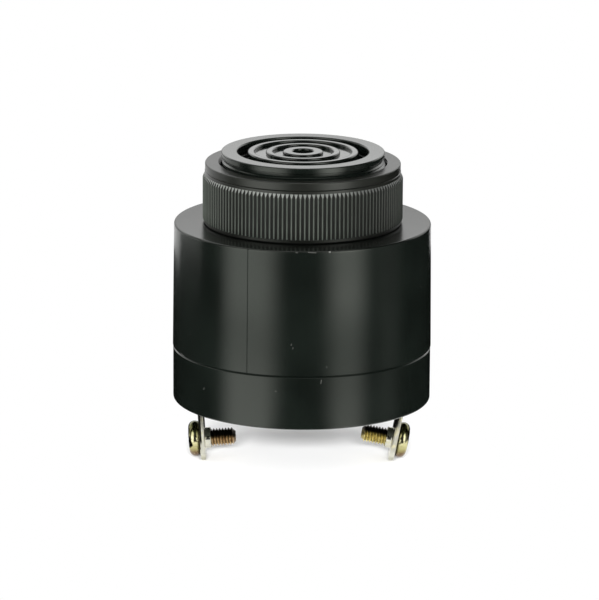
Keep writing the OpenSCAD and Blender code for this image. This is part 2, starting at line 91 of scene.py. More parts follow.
# Housing, from the frame and then inwards
seam_r = housing_high[0]
top_r = seam_r - 0.2
z_seam = housing_low[2]
z_bottom = base_low[2]
neck_h = housing_high[2]
shoulder_edge = 0.35
shoulder_steps = 10
seam_break = 0.2
cavity_r = seam_r - 1.8
front_wall = 2.2
line_angle = math.radians(-114.5)
line_width = 0.14
line_depth = 0.05

# Grille radii from the middle outwards, and its depths
hole_r = 1.7
ring_radii = ((hole_r, 3.37), (5.0, 6.17), (8.04, 9.2))
rim_in = 10.9
rim_r = 13.6
ring_edge = 0.28
ring_steps = 4
rim_edge = 0.25
blind_floor = neck_h - 0.5
open_floor = neck_h - 1.9
face_under = neck_h - 3.0
window_step = 0.15
window_in = ring_radii[-1][1] + window_step
window_out = rim_in - window_step
bridge_count = 4
bridge_half = math.radians(14)

# Neck and its thread: the pitch, and half the widths of the ridge's crest and foot in turns
neck_bore_r = rim_in + 0.5
rim_under = neck_h - 0.85
relief_r = rim_r - 0.4
relief_slope = 0.15
relief_low = rim_under - 0.6
core_r = rim_r - 0.15
neck_thread = (1.5, 0.10, 0.34)
thread_depth = 0.7
thread_fade = 0.8

# Seat of the diaphragm and the ribs that hold the board
collar_out_r = cavity_r - 1.25
collar_in_r = collar_out_r - 1.0
seat_in_r = collar_in_r - 1.35
z_seat = -front_wall - 2.0
z_seat_end = z_seat - 1.75
rib_in_r = collar_out_r - 0.5
z_rib_end = z_seam + 5.1
rib_count = 4
rib_half = math.radians(3)

# Ring nut, with a groove in its bore that is a little wider and deeper than the neck's thread
nut_h = nut_high[2]
crest_r = nut_high[0]
root_r = crest_r - 0.25
ledge_r = root_r - 0.1
band_r = crest_r - 0.4
lip_r = crest_r - 0.15
nut_bore_r = rim_r + 0.1
nut_mouth = 0.35
mouth_land = 0.3
lip_h = 0.6
lip_break = 0.2
rib_foot = lip_h + 0.15
z_step = nut_h - 1.32
z_knurl_top = z_step - 0.53
z_runout = z_knurl_top - 0.75
ledge_groove = 0.1
band_edge = 0.22
knurl_count = 142
rib_half_share = 0.42
rib_columns = 13
bore_step = 7
thread_play = 0.04
thread_room = 0.1
nut_thread = (neck_thread[0], neck_thread[1] + thread_play, neck_thread[2] + thread_play)

# Terminals
tab_t = 0.85
tab_x = node_box("right_terminal")[1][0] - tab_t / 2
tab_half = 3.5
tab_corner = 2.6
tab_drop = 7.55
tab_length = tab_drop + 3.5
tab_edge = 0.2
tab_slot_top = -1.0
bend_length = 0.6
flange_half = 4.3
flange_low = -2.0
flange_high = -3.6
flange_slope = 0.06
tail_half = 1.5
tail_tip = -14.9
tail_break = 0.5
collar_r = 1.75
collar_l = 1.0
collar_land = 0.5
collar_fillet = 0.25
collar_round = 0.15
collar_break = 0.08
hole_tab_r = 1.54
hole_break = 0.1
tab_side_rows = 14
tab_corner_rows = 11
width_share = np.linspace(-1, 1, 9)
quarter_bow = np.radians(np.linspace(0, 90, 4))

# Terminal screws, with the thread's pitch and half the widths of its crest and foot in turns
screw_r = 1.48
screw_l = 6.0
screw_point = 0.4
point_blunt = 0.1
screw_thread = (0.5, 0.06, 0.44)
screw_depth = 0.3
screw_fade = 0.3
screw_plain = 0.25
screw_columns = 169
under_head = 0.1
head_r = 3.0
head_h = 1.9
head_edge = 1.05
head_draw = 0.3
head_steps = 10
dome_start = 82
dome_rows = 40
recess_reach = 1.65
recess_core = 0.55
recess_half = 0.4
recess_wall = 0.1
recess_depth = 1.2
recess_curve = 0.7


# Shapes

def arc(centre_r, centre_z, radius, start, end, steps=6):
    """Round stretch of a profile: points at even angles from start to end, in degrees."""
    angle = np.radians(np.linspace(start, end, steps + 1))
    return np.column_stack([centre_r + radius * np.cos(angle), centre_z + radius * np.sin(angle)])


def hold(profile):
    """A profile with two more points near the ends of each long straight stretch, which keep it
    flat when shaded."""
    profile = np.asarray(profile, float)
    step = np.diff(profile, axis=0)
    length = np.linalg.norm(step, axis=1)
    place = np.flatnonzero(length > 4 * flat_margin)
    inset = flat_margin * step[place] / length[place, None]
    ends = np.stack([profile[place] + inset, profile[place + 1] - inset], 1).reshape(-1, 2)
    return np.insert(profile, np.repeat(place + 1, 2), ends, axis=0)


def spin(r, z, theta):
    """Points at radius r, height z and angle theta, which broadcast to rows by columns."""
    r, z, theta = np.broadcast_arrays(r, z, theta)
    return np.stack([r * np.cos(theta), r * np.sin(theta), z], -1)


def lathe(profile, theta):
    """A profile of radii and heights turned about the axis: a row for each of its points."""
    return spin(profile[:, :1], profile[:, 1:], theta)


def ramp(x):
    """Smooth rise from 0 to 1 as x goes from 0 to 1: 3x^2 - 2x^3."""
    x = np.clip(x, 0, 1)
    return x * x * (3 - 2 * x)


def thread_rise(z, theta, pitch, crest, foot):
    """Height of a helical ridge, from 0 to 1: a trapezoid across the turn, crest and foot being its
    half widths in turns."""
    off = np.abs((z / pitch - theta / TURN) % 1 - 0.5)
    return np.clip((foot - off) / (foot - crest), 0, 1)


def thread_rows(low, high, theta, pitch, crest, foot):
    """Heights of grid rows that climb with the helix along the corners of its ridge, clipped to low
    and high."""
    corners = 0.5 + np.array([-foot, -crest, crest, foot])
    turns = np.arange(math.floor(low / pitch) - 2, math.ceil(high / pitch) + 1)
    phase = (turns[:, None] + corners).ravel()
    return np.clip(pitch * (phase[:, None] + theta[None, :] / TURN), low, high)


def patch(points, keep=None):
    """One grid of points, rows by columns, as a list of points and a list of four-cornered faces,
    of which keep is a mask."""
    rows, columns = points.shape[:2]
    corner = np.arange(rows - 1)[:, None] * columns + np.arange(columns - 1)
    faces = np.stack([corner, corner + 1, corner + columns + 1, corner + columns], -1)
    if keep is None:
        return points.reshape(-1, 3), faces.reshape(-1, 4)
    return points.reshape(-1, 3), faces[np.broadcast_to(keep, corner.shape)]


def join(name, patches):
    """Patches as one mesh in metres, still open where they meet."""
    first = np.cumsum([0] + [len(points) for points, _ in patches])
    points = np.concatenate([points for points, _ in patches]) * MM
    faces = np.concatenate([faces + start for (_, faces), start in zip(patches, first)])
    mesh = bpy.data.meshes.new(name)
    mesh.from_pydata(points.tolist(), [], faces.tolist())
    return mesh


def make_mesh(name, patches, crease=crease_angle):
    """Patches as one mesh: seams and poles welded, faces outwards, edges past crease degrees sharp."""
    mesh = join(name, patches)
    work = bmesh.new()
    work.from_mesh(mesh)
    bmesh.ops.remove_doubles(work, verts=work.verts, dist=weld_gap * MM)
    bmesh.ops.dissolve_degenerate(work, edges=work.edges, dist=sliver_size * MM)
    bmesh.ops.recalc_face_normals(work, faces=work.faces)
    work.to_mesh(mesh)
    work.free()
    mesh.polygons.foreach_set("use_smooth", np.ones(len(mesh.polygons), bool))
    mesh.set_sharp_from_angle(angle=math.radians(crease))
    return mesh


def add_object(name, mesh, material):
    """An object at the origin that shows mesh in one material."""
    mesh.materials.append(material)
    shown = bpy.data.objects.new(name, mesh)
    bpy.context.scene.collection.objects.link(shown)
    return shown


def add_piece(name, patches, material, body, node, crease=crease_angle):
    """A finished piece that stands for a frame node and moves with its body."""
    shown = add_object(name, make_mesh(name, patches, crease), material)
    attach(shown, body)
    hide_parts(node)
    return shown


# Housing

def ring_profile(inner, outer, floor_in, floor_out):
    """Section over one grille ring: up its inner side, over two rounded edges and down its outer
    side."""
    return np.concatenate([
        [[inner, floor_in]],
        arc(inner + ring_edge, neck_h - ring_edge, ring_edge, 180, 90, ring_steps),
        arc(outer - ring_edge, neck_h - ring_edge, ring_edge, 90, 0, ring_steps),
        [[outer, floor_out]],
    ])


def grille_profile():
    """Section of the grille disc: its three rings and the floors of the slots between them."""
    floors = ((face_under, blind_floor), (blind_floor, blind_floor), (blind_floor, open_floor))
    rings = [ring_profile(*radii, *floor) for radii, floor in zip(ring_radii, floors)]
    return hold(np.concatenate([[[window_in, face_under]], *rings, [[window_in, open_floor]]]))


def rim_profile():
    """Section of the rim: from the outer slot over its two edges and down to the thread's top."""
    return hold(np.concatenate([
        [[window_out, open_floor], [rim_in, open_floor]],
        arc(rim_in + ring_edge, neck_h - ring_edge, ring_edge, 180, 90, ring_steps),
        arc(rim_r - rim_edge, neck_h - rim_edge, rim_edge, 90, 0),
        [[rim_r, rim_under], [relief_r, rim_under - relief_slope], [relief_r, relief_low]],
        [[core_r, relief_low - core_r + relief_r]],
    ]))


def neck_points(top, theta):
    """The neck from the thread's top down to the shoulder: its core with a helical ridge, which
    fades at both ends."""
    z = thread_rows(0, top, theta, *neck_thread)[::-1]
    fade = ramp(z / thread_fade) * ramp((top - z) / thread_fade)
    rise = thread_rise(z, theta, *neck_thread)
    return spin(core_r + thread_depth * fade * rise, z, theta)


def wall_points(theta):
    """The shoulder and the side wall down to the seam, with a fine groove along both mould lines."""
    wall = hold(np.concatenate([
        [[core_r, 0]],
        arc(top_r - shoulder_edge, -shoulder_edge, shoulder_edge, 90, 0, shoulder_steps),
        [[seam_r, z_seam + seam_break], [seam_r - seam_break, z_seam]],
    ]))
    to_line = np.abs((theta - line_angle + math.pi / 2) % math.pi - math.pi / 2) * seam_r
    groove = line_depth * np.clip(1 - 2 * to_line / line_width, 0, 1)
    outside = ramp((wall[:, :1] - top_r + shoulder_edge) / shoulder_edge)
    return spin(wall[:, :1] - outside * groove, wall[:, 1:], theta)


def inside_points(theta, on_rib):
    """The inside from the seam up: the cavity with its ribs, the seat of the diaphragm and the bore
    of the neck."""
    groove_r = np.where(on_rib, rib_in_r, collar_out_r)
    groove_z = np.where(on_rib, z_rib_end, -front_wall)
    rib_r = np.stack([np.full_like(theta, cavity_r), groove_r, groove_r])
    rib_z = np.stack([groove_z, groove_z, np.full_like(theta, z_seat_end)])
    seat = np.array([
        [collar_in_r, z_seat_end], [collar_in_r, z_seat], [seat_in_r, z_seat], [seat_in_r, -front_wall],
        [neck_bore_r, -front_wall], [neck_bore_r, face_under], [window_out, face_under],
    ])
    return np.concatenate([
        spin(cavity_r, np.array([[z_seam]]), theta),
        spin(rib_r, rib_z, theta),
        lathe(seat, theta),
    ])


def housing_columns():
    """Angles of the housing's columns, and a mask of those on a rib: even degrees, doubled at the
    sides of each inner rib, with three more at each mould line."""
    even = np.radians(np.arange(0, 361))
    line = line_width / seam_r * np.array([-0.5, 0, 0.5])
    lines = np.concatenate([line_angle + line, line_angle + math.pi + line]) % TURN
    middles = (np.arange(rib_count) + 0.5) * TURN / rib_count
    sides = np.concatenate([middles - rib_half, middles + rib_half])
    theta = np.sort(np.concatenate([even, lines, sides]))
    to_rib = np.abs((theta[:, None] - middles + math.pi) % TURN - math.pi).min(1)
    inside = to_rib < rib_half - same_angle
    beside = np.abs(to_rib - rib_half) < same_angle
    previous_same = beside & (np.abs(theta - np.roll(theta, 1)) < same_angle)
    entering = np.roll(inside, -1) & previous_same
    leaving = np.roll(inside, 1) & beside
    return theta, inside | entering | leaving


def housing_patches():
    """The moulding as two sections turned about the axis: the grille disc, and the rim, neck,
    shoulder, side wall and inside. Bridges join the two where the outer slot has a floor, and walls
    close each where the slot is open."""
    theta, on_rib = housing_columns()
    rim = rim_profile()
    disc = lathe(grille_profile(), theta)
    shell = np.concatenate([
        lathe(rim, theta),
        neck_points(rim[-1, 1], theta),
        wall_points(theta),
        inside_points(theta, on_rib),
    ])
    middle = (theta[1:] + theta[:-1]) / 2
    share = TURN / bridge_count
    bridged = np.abs((middle + share / 2) % share - share / 2) < bridge_half
    edges = np.flatnonzero(bridged[1:] != bridged[:-1]) + 1
    disc_top, disc_low, rim_top, rim_low = disc[-1], disc[0], shell[0], shell[-1]
    ends = [patch(np.array([[disc_top[j], rim_top[j]], [disc_low[j], rim_low[j]]])) for j in edges]
    return [
        patch(disc),
        patch(shell),
        patch(np.stack([disc_top, rim_top]), bridged),
        patch(np.stack([rim_low, disc_low]), bridged),
        patch(np.stack([disc_top, disc_low]), ~bridged),
        patch(np.stack([rim_top, rim_low]), ~bridged),
        *ends,
    ]


# Ring nut

def nut_bore(z, theta):
    """Radius of the nut's bore: plain, with a helical groove that takes the neck's thread."""
    groove_depth = thread_depth + core_r - nut_bore_r + thread_room
    return nut_bore_r + groove_depth * thread_rise(z, theta, *nut_thread)


def nut_patches():
    """The nut as one closed section turned about the axis. Each rib is a raised cosine across its
    share of the turn, cut by cones at its foot and its run-out. The helical groove in the bore has
    fewer columns, each of them repeated."""
    share = np.append(np.linspace(-rib_half_share, rib_half_share, rib_columns), 0.5)
    across = np.minimum(np.abs(share) / rib_half_share, 1)
    ribs = root_r + (crest_r - root_r) * np.cos(across * TURN / 4) ** 2
    theta = (np.arange(knurl_count)[:, None] + share).ravel() * TURN / knurl_count
    closing = theta[0] + TURN
    bore_theta = np.append(np.repeat(theta[::bore_step], bore_step), closing)
    theta = np.append(theta, closing)
    knurl = np.append(np.tile(ribs, knurl_count), ribs[0])

    mouth_r = nut_bore_r + nut_mouth
    land_r = mouth_r + mouth_land
    foot = hold([[land_r, 0], [lip_r - lip_break, 0], [lip_r, lip_break], [lip_r, lip_h]])
    sloping = np.array([0, 0.04, 0.25, 0.5, 0.75, 0.96, 1])
    straight_z = [lip_h, rib_foot, rib_foot + flat_margin, z_runout - flat_margin]
    rib_z = np.concatenate([straight_z, z_runout + (z_knurl_top - z_runout) * sloping])
    straight_r = [lip_r, crest_r, crest_r, crest_r]
    rib_limit = np.concatenate([straight_r, crest_r + (ledge_r - crest_r) * sloping])
    top = hold(np.concatenate([
        [[ledge_r, z_knurl_top], [ledge_r, z_step - ledge_groove]],
        [[band_r - ledge_groove, z_step], [band_r, z_step + ledge_groove]],
        arc(band_r - band_edge, nut_h - band_edge, band_edge, 0, 90),
        [[land_r, nut_h]],
    ]))
    thread_z = thread_rows(nut_mouth, nut_h - nut_mouth, bore_theta, *nut_thread)[::-1]
    low_mouth, high_mouth = (
        spin(np.maximum(mouth_r, nut_bore(z, bore_theta)), np.full((1, 1), z), bore_theta)
        for z in (0.0, nut_h)
    )
    points = np.concatenate([
        low_mouth,
        lathe(foot, theta),
        spin(np.minimum(knurl, rib_limit[:, None]), rib_z[:, None], theta),
        lathe(top, theta),
        high_mouth,
        spin(nut_bore(thread_z, bore_theta), thread_z, bore_theta),
        low_mouth,
    ])
    return [patch(points)]


# Terminals

def bend_sheet(x, y, s, lean, side):
    """Places sheet points: x across the thickness, y across the width, s down from the bend. Below
    the bend the sheet leans in by the angle lean, and side is -1 for the terminal at -X."""
    tilt = lean * ramp(0.5 + s / bend_length)
    below = np.maximum(s, 0)
    out = tab_x - below * math.sin(lean) + x * np.cos(tilt)
    up = z_bottom - below * math.cos(lean) - np.minimum(s, 0) - x * np.sin(tilt)
    return np.stack([side * out, side * y, up], -1)


def sheet_edge():
    """The sheet's rounded edge, from its outer face to its inner one: the share of the edge's radius
    by which each point stands out, and its place across the thickness."""
    out = np.concatenate([np.sin(quarter_bow), np.sin(quarter_bow[::-1])])
    drop = tab_edge * (1 - np.cos(quarter_bow))
    return out, np.concatenate([tab_t / 2 - drop, -tab_t / 2 + drop[::-1]])


def blade_outline():
    """Outline of the blade from one upper corner round to the other, inset by the edge's radius, and
    its outward direction: straight sides and two quarter circles."""
    corner_s = tab_length - tab_corner
    sides = np.linspace(tab_slot_top, corner_s, tab_side_rows)[:-1]
    turn = np.radians(np.linspace(0, 90, tab_corner_rows))
    corner_y = tab_half - tab_corner + tab_corner * np.cos(turn)
    half_y = np.concatenate([np.full_like(sides, tab_half), corner_y])
    half_s = np.concatenate([sides, corner_s + tab_corner * np.sin(turn)])
    normal_y = np.concatenate([np.ones_like(sides), np.cos(turn)])
    normal_s = np.concatenate([np.zeros_like(sides), np.sin(turn)])
    out_y = np.concatenate([normal_y, -normal_y[::-1]])
    out_s = np.concatenate([normal_s, normal_s[::-1]])
    inset_y = np.concatenate([half_y, -half_y[::-1]]) - tab_edge * out_y
    inset_s = np.concatenate([half_s, half_s[::-1]]) - tab_edge * out_s
    return inset_y, inset_s, out_y, out_s


def close_loops(loops):
    """Loops as the rows of one grid, whose first column comes again at its end."""
    grid = np.stack(loops)
    return np.concatenate([grid, grid[:, :1]], axis=1)


def blade_patches(lean, side):
    """The blade as loops from the tapped hole out to the outline, round the edge and back in to the
    drawn collar, whose foot and end are quarter circles."""
    inset_y, inset_s, out_y, out_s = blade_outline()
    top_y = width_share[1:] * (tab_half - tab_edge)
    rim_y = np.concatenate([inset_y, top_y])
    rim_s = np.concatenate([inset_s, np.full_like(top_y, tab_slot_top)])
    reach = np.hypot(rim_y, rim_s - tab_drop)
    ray_y, ray_s = rim_y / reach, (rim_s - tab_drop) / reach

    def loop(radius, x):
        """A loop at some radius about the hole, at place x across the thickness."""
        return bend_sheet(x, radius * ray_y, tab_drop + radius * ray_s, lean, side)

    outer, inner = tab_t / 2, -tab_t / 2
    collar_end = inner - collar_l
    falling = 1 - np.sin(quarter_bow)
    rising = 1 - np.cos(quarter_bow)
    front = [
        loop(hole_tab_r, outer - hole_break),
        loop(hole_tab_r + hole_break, outer),
        loop((hole_tab_r + 2 * reach) / 3, outer),
        loop(reach, outer),
    ]
    back = [
        loop(reach, inner),
        loop((collar_r + collar_land + reach) / 2, inner),
        *map(loop, collar_r + collar_fillet * falling, inner - collar_fillet * rising),
        *map(loop, collar_r - collar_round * rising, collar_end + collar_round * falling),
        loop(hole_tab_r + collar_break, collar_end),
        loop(hole_tab_r, collar_end + collar_break),
        front[0],
    ]
    edge_out, edge_x = sheet_edge()
    edge_y = inset_y + tab_edge * edge_out[:, None] * out_y
    edge_s = inset_s + tab_edge * edge_out[:, None] * out_s
    edge = bend_sheet(edge_x[:, None], edge_y, edge_s, lean, side)
    return [patch(close_loops(front)), patch(edge), patch(close_loops(back))]


def stem_patch(lean, side):
    """The stem above the blade as sections of a rounded strip, up through the slot, with its stop
    flange and its solder tail."""
    heights = np.array([
        tab_slot_top, flange_low, flange_low - flange_slope, flange_high, flange_high - flange_slope,
        tail_tip + tail_break, tail_tip,
    ])
    halves = np.array([
        tab_half, tab_half, flange_half, flange_half, tail_half,
        tail_half, tail_half - tail_break,
    ])
    edge_out, edge_x = (values[1:-1] for values in sheet_edge())
    flat, full = np.zeros_like(width_share), np.ones_like(edge_out)
    middle = np.concatenate([width_share, full, -width_share, -full])
    round_y = np.concatenate([flat, edge_out, flat, -edge_out])
    round_x = np.concatenate([flat + tab_t / 2, edge_x, flat - tab_t / 2, edge_x[::-1]])
    middle, round_y, round_x = (np.append(values, values[0]) for values in (middle, round_y, round_x))
    stem_y = middle * (halves[:, None] - tab_edge) + tab_edge * round_y
    stem = bend_sheet(round_x, stem_y, heights[:, None], lean, side)
    tip = bend_sheet(0 * round_x, stem_y[-1], np.full_like(round_x, tail_tip), lean, side)
    return patch(np.concatenate([stem, tip[None]]))


# Terminal screws

def screw_patches(place, axis):
    """The screw as one profile turned about its axis: a helical ridge on the shank, a domed head
    whose side draws in to its seat along a parabola, and a cross recess as a lowered top within a
    reach of the axis."""
    theta = np.linspace(0, TURN, screw_columns)
    z_thread = -screw_l + screw_point
    thread_z = thread_rows(z_thread, -screw_plain, theta, *screw_thread)
    fade = ramp((thread_z - z_thread + screw_fade / 2) / screw_fade)
    rise = thread_rise(thread_z, theta, *screw_thread)
    thread_r = screw_r - screw_depth * (1 - rise * fade)
    point_r = screw_r - screw_depth - screw_point + point_blunt
    point = np.array([[0, -screw_l], [point_r, -screw_l]])
    below = np.linspace(1, 0, 6)[:-1]
    head = hold(np.concatenate([
        [[screw_r - screw_depth, -under_head], [screw_r, 0]],
        np.column_stack([head_r - head_draw * below ** 2, (head_h - head_edge) * (1 - below)]),
        arc(head_r - head_edge, head_h - head_edge, head_edge, 0, dome_start, head_steps),
    ]))
    dome_r, dome_z = head[-1]
    inward_r = np.linspace(dome_r, 0, dome_rows)[1:, None]
    dome = dome_z + (head_h - dome_z) * ramp(1 - inward_r / dome_r)
    along, across = np.abs(inward_r * np.cos(theta)), np.abs(inward_r * np.sin(theta))
    arm, off = np.maximum(along, across), np.minimum(along, across)
    wall = ramp((recess_half - off) / recess_wall)
    slope = np.clip((recess_reach - arm) / (recess_reach - recess_core), 0, 1)
    top_z = dome - recess_depth * wall * slope ** recess_curve
    points = np.concatenate([
        lathe(point, theta),
        spin(thread_r, thread_z, theta),
        lathe(head, theta),
        spin(inward_r, top_z, theta),
    ])
    sideways = np.array([0.0, 1.0, 0.0])
    directions = np.stack([sideways, np.cross(axis, sideways), axis])
    return [patch(place + points @ directions)]


# Shader maths

class Wire:
    """A node's output that can be used in Python expressions, which add Math nodes."""

    def __init__(self, socket):
        self.socket = socket

    def node(self, kind, settings=None, inputs=None, out=0):
        """The wanted output of a new node in this tree, made by add_node."""
        return Wire(add_node(self.socket.id_data, kind, settings, inputs).outputs[out])

    def math(self, operation, *values):
        """A Math node on values, in the order given."""
        return self.node("ShaderNodeMath", {"operation": operation}, dict(enumerate(values)))

    def __add__(self, other):
        return self.math("ADD", self, other)

    def __sub__(self, other):
        return self.math("SUBTRACT", self, other)

    def __rsub__(self, other):
        return self.math("SUBTRACT", other, self)

    def __mul__(self, other):
        return self.math("MULTIPLY", self, other)

    def __truediv__(self, other):
        return self.math("DIVIDE", self, other)

    def __abs__(self):
        return self.math("ABSOLUTE", self)

    __radd__ = __add__
    __rmul__ = __mul__

    def hypot(self, other):
        """Square root of the sum of the two squares."""
        return self.math("SQRT", self * self + other * other)

    def most(self, other):
        """The larger of the two."""
        return self.math("MAXIMUM", self, other)

    def rise(self, low, high):
        """Smooth rise from 0 to 1 while this goes from low to high."""
        inputs = {"Value": self, "From Min": low, "From Max": high}
        return self.node("ShaderNodeMapRange", {"interpolation_type": "SMOOTHSTEP"}, inputs)

    def blend(self, low, high):
        """Colour low where this is 0 and colour high where it is 1."""
        return self.node("ShaderNodeMix", {"data_type": "RGBA"}, {0: self, 6: low, 7: high}, 2)


def add_node(tree, kind, settings=None, inputs=None):
    """Any node of a tree: its type, its settings, and values or wires for its inputs, which are
    called by name or number."""
    made = tree.nodes.new(kind)
    for name, value in (settings or {}).items():
        if name == "stops":
            set_stops(made.color_ramp, value)
        else:
            setattr(made, name, value)
    for name, value in (inputs or {}).items():
        plug(made, name, value)
    return made


def plug(made, name, value):
    """Sets one input of a node, by name or number, to a value or to a wire."""
    socket = made.inputs[name]
    if isinstance(value, Wire):
        socket.id_data.links.new(value.socket, socket)
    elif socket.type == "RGBA" and len(value) == 3:
        socket.default_value = (*value, 1)
    else:
        socket.default_value = value


def set_stops(ramp_field, stops):
    """Gives a colour ramp its stops: places and colours."""
    while len(ramp_field.elements) < len(stops):
        ramp_field.elements.new(1)
    for element, (place, colour) in zip(ramp_field.elements, stops):
        element.position = place
        element.color = (*colour, 1)


def place_wires(tree):
    """The place of a surface point in millimetres: as one vector, and its x, y and z."""
    metres = Wire(add_node(tree, "ShaderNodeTexCoord").outputs["Object"])
    inputs = {"Vector": metres, "Scale": 1 / MM}
    place = metres.node("ShaderNodeVectorMath", {"operation": "SCALE"}, inputs)
    parts = add_node(tree, "ShaderNodeSeparateXYZ", None, {0: place})
    return place, *(Wire(output) for output in parts.outputs)


class Finish:
    """A material with one shader, and the wires that its patterns start from, in millimetres."""

    def __init__(self, name, **constants):
        self.material = bpy.data.materials.new(name)
        self.material.use_nodes = True
        tree = self.material.node_tree
        self.shader = next(n for n in tree.nodes if n.type == "BSDF_PRINCIPLED")
        self.set(**constants)
        self.place, self.x, self.y, self.z = place_wires(tree)

    def set(self, **inputs):
        """Sets the shader's inputs to values or wires."""
        for name, value in inputs.items():
            plug(self.shader, name.replace("_", " "), value)

    def bump(self, height, depth):
        """Raises the surface by height, 0 to 1, times depth."""
        inputs = {"Height": height, "Distance": depth * MM, "Strength": 1.0}
        self.set(Normal=height.node("ShaderNodeBump", None, inputs))

    def noise(self, size, detail=3, roughness=0.5, stretch=(1, 1, 1)):
        """Noise from 0 to 1 with features of about the size, stretched along the axes."""
        inputs = {"Vector": self.place, "Scale": stretch}
        place = self.place.node("ShaderNodeMapping", {"vector_type": "TEXTURE"}, inputs)
        inputs = {"Vector": place, "Scale": 1 / size, "Detail": detail, "Roughness": roughness}
        return place.node("ShaderNodeTexNoise", None, inputs)

    def specks(self, spacing, size, share):
        """Mask of small round specks, one to a cell of about the spacing, in a share of the cells."""
        inputs = {"Vector": self.place, "Scale": 1 / spacing}
        distance = self.place.node("ShaderNodeTexVoronoi", None, inputs)
        colour = Wire(distance.socket.node.outputs["Color"])
        chance = colour.node("ShaderNodeSeparateColor", None, {"Color": colour})
        near = 1 - distance.rise(0.5 * size / spacing, size / spacing)
        return near * chance.math("LESS_THAN", chance, share)

    def nick(self, x, z, slope, length, width):
        """Mask of a short nick in the front of the wall: its middle, its slope in degrees and its
        size, over whose outer part it fades."""
        across, up = self.x - x, self.z - z
        cosine, sine = math.cos(math.radians(slope)), math.sin(math.radians(slope))
        along = abs(cosine * across + sine * up)
        beside = abs(cosine * up - sine * across)
        lengthwise = 1 - along.rise(0.35 * length, 0.5 * length)
        crosswise = 1 - beside.rise(0.25 * width, 0.5 * width)
        return lengthwise * crosswise * self.y.math("LESS_THAN", self.y, 0.0)

    def by_clamp(self):
        """1 on the right side, and distances from the screw's seat on that side: out along the
        screw's axis, and up across it."""
        right = self.x.math("GREATER_THAN", self.x, 0.0)
        ways = []
        for name, side in (("left", -1), ("right", 1)):
            seat_x, _, seat_z = mount_place[f"{name}_wire_clamp"].tolist()
            out_x, _, out_z = joint_axis[f"{name}_screw_travel"].tolist()
            x, z = self.x - seat_x, self.z - seat_z
            ways.append((out_x * x + out_z * z, side * out_x * z - side * out_z * x))
        return right, *(left + right * (other - left) for left, other in zip(*ways))

    def point_values(self, mesh, name, values, output):
        """Keeps values at a mesh's points, and gives the wire that reads them."""
        mesh.attributes.new(name, "FLOAT", "POINT").data.foreach_set("value", values.ravel())
        return self.place.node("ShaderNodeAttribute", {"attribute_name": name}, None, output)


# Finishes

def moulded_black(name, tone, sheen, grain, shoulder=0, nicks=()):
    """Satin black moulding: cloudy tone, handling marks that change the gloss, fine grain and a few
    specks of dust. The shoulder at height 0 is duller by a step and painted blacker as shade, standing
    in for the nut's dark reflection, with dust along its front edge; the grille's rings are glossier,
    and nicks show paler."""
    dust_grey = (0.2, 0.2, 0.19)
    # painted shade: the shoulder's colour stands in for the nut's dark reflection in it
    shoulder_painted_shade = (0.002, 0.003, 0.0022)
    dark, light = (tuple(channel * share for channel in tone) for share in (0.8, 1.25))
    finish = Finish(name, IOR=1.5, Specular_Tint=(0.95, 1.0, 0.9))
    cloud = finish.noise(9, 4)
    fine = finish.noise(0.35, 3, 0.6)
    dust = finish.specks(3.2, 0.075, 0.3)
    colour = cloud.rise(0.3, 0.7).blend(dark, light)
    rough = sheen + 0.05 * (cloud - 0.5) + 0.04 * (fine - 0.5)
    if shoulder:
        flat = finish.z.rise(-0.3, -0.05) * (1 - finish.z.rise(0.05, 0.3))
        front = flat * (1 - finish.y.rise(-20.5, -19))
        grille = finish.z.rise(8, 9) * (1 - finish.x.hypot(finish.y).rise(rim_in - 0.3, rim_in))
        dust = dust.most(front * finish.specks(0.9, 0.09, 0.3))
        # painted shade: the flat of the shoulder is painted blacker
        colour = flat.blend(colour, shoulder_painted_shade)
        rough = rough + shoulder * flat - 0.08 * grille
    for strength, *nick in nicks:
        dust = dust.most(strength * finish.nick(*nick))
    finish.set(Base_Color=dust.blend(colour, dust_grey), Roughness=rough + 0.2 * dust)
    finish.bump(fine + 0.3 * finish.noise(0.12, 2), grain)
    return finish.material


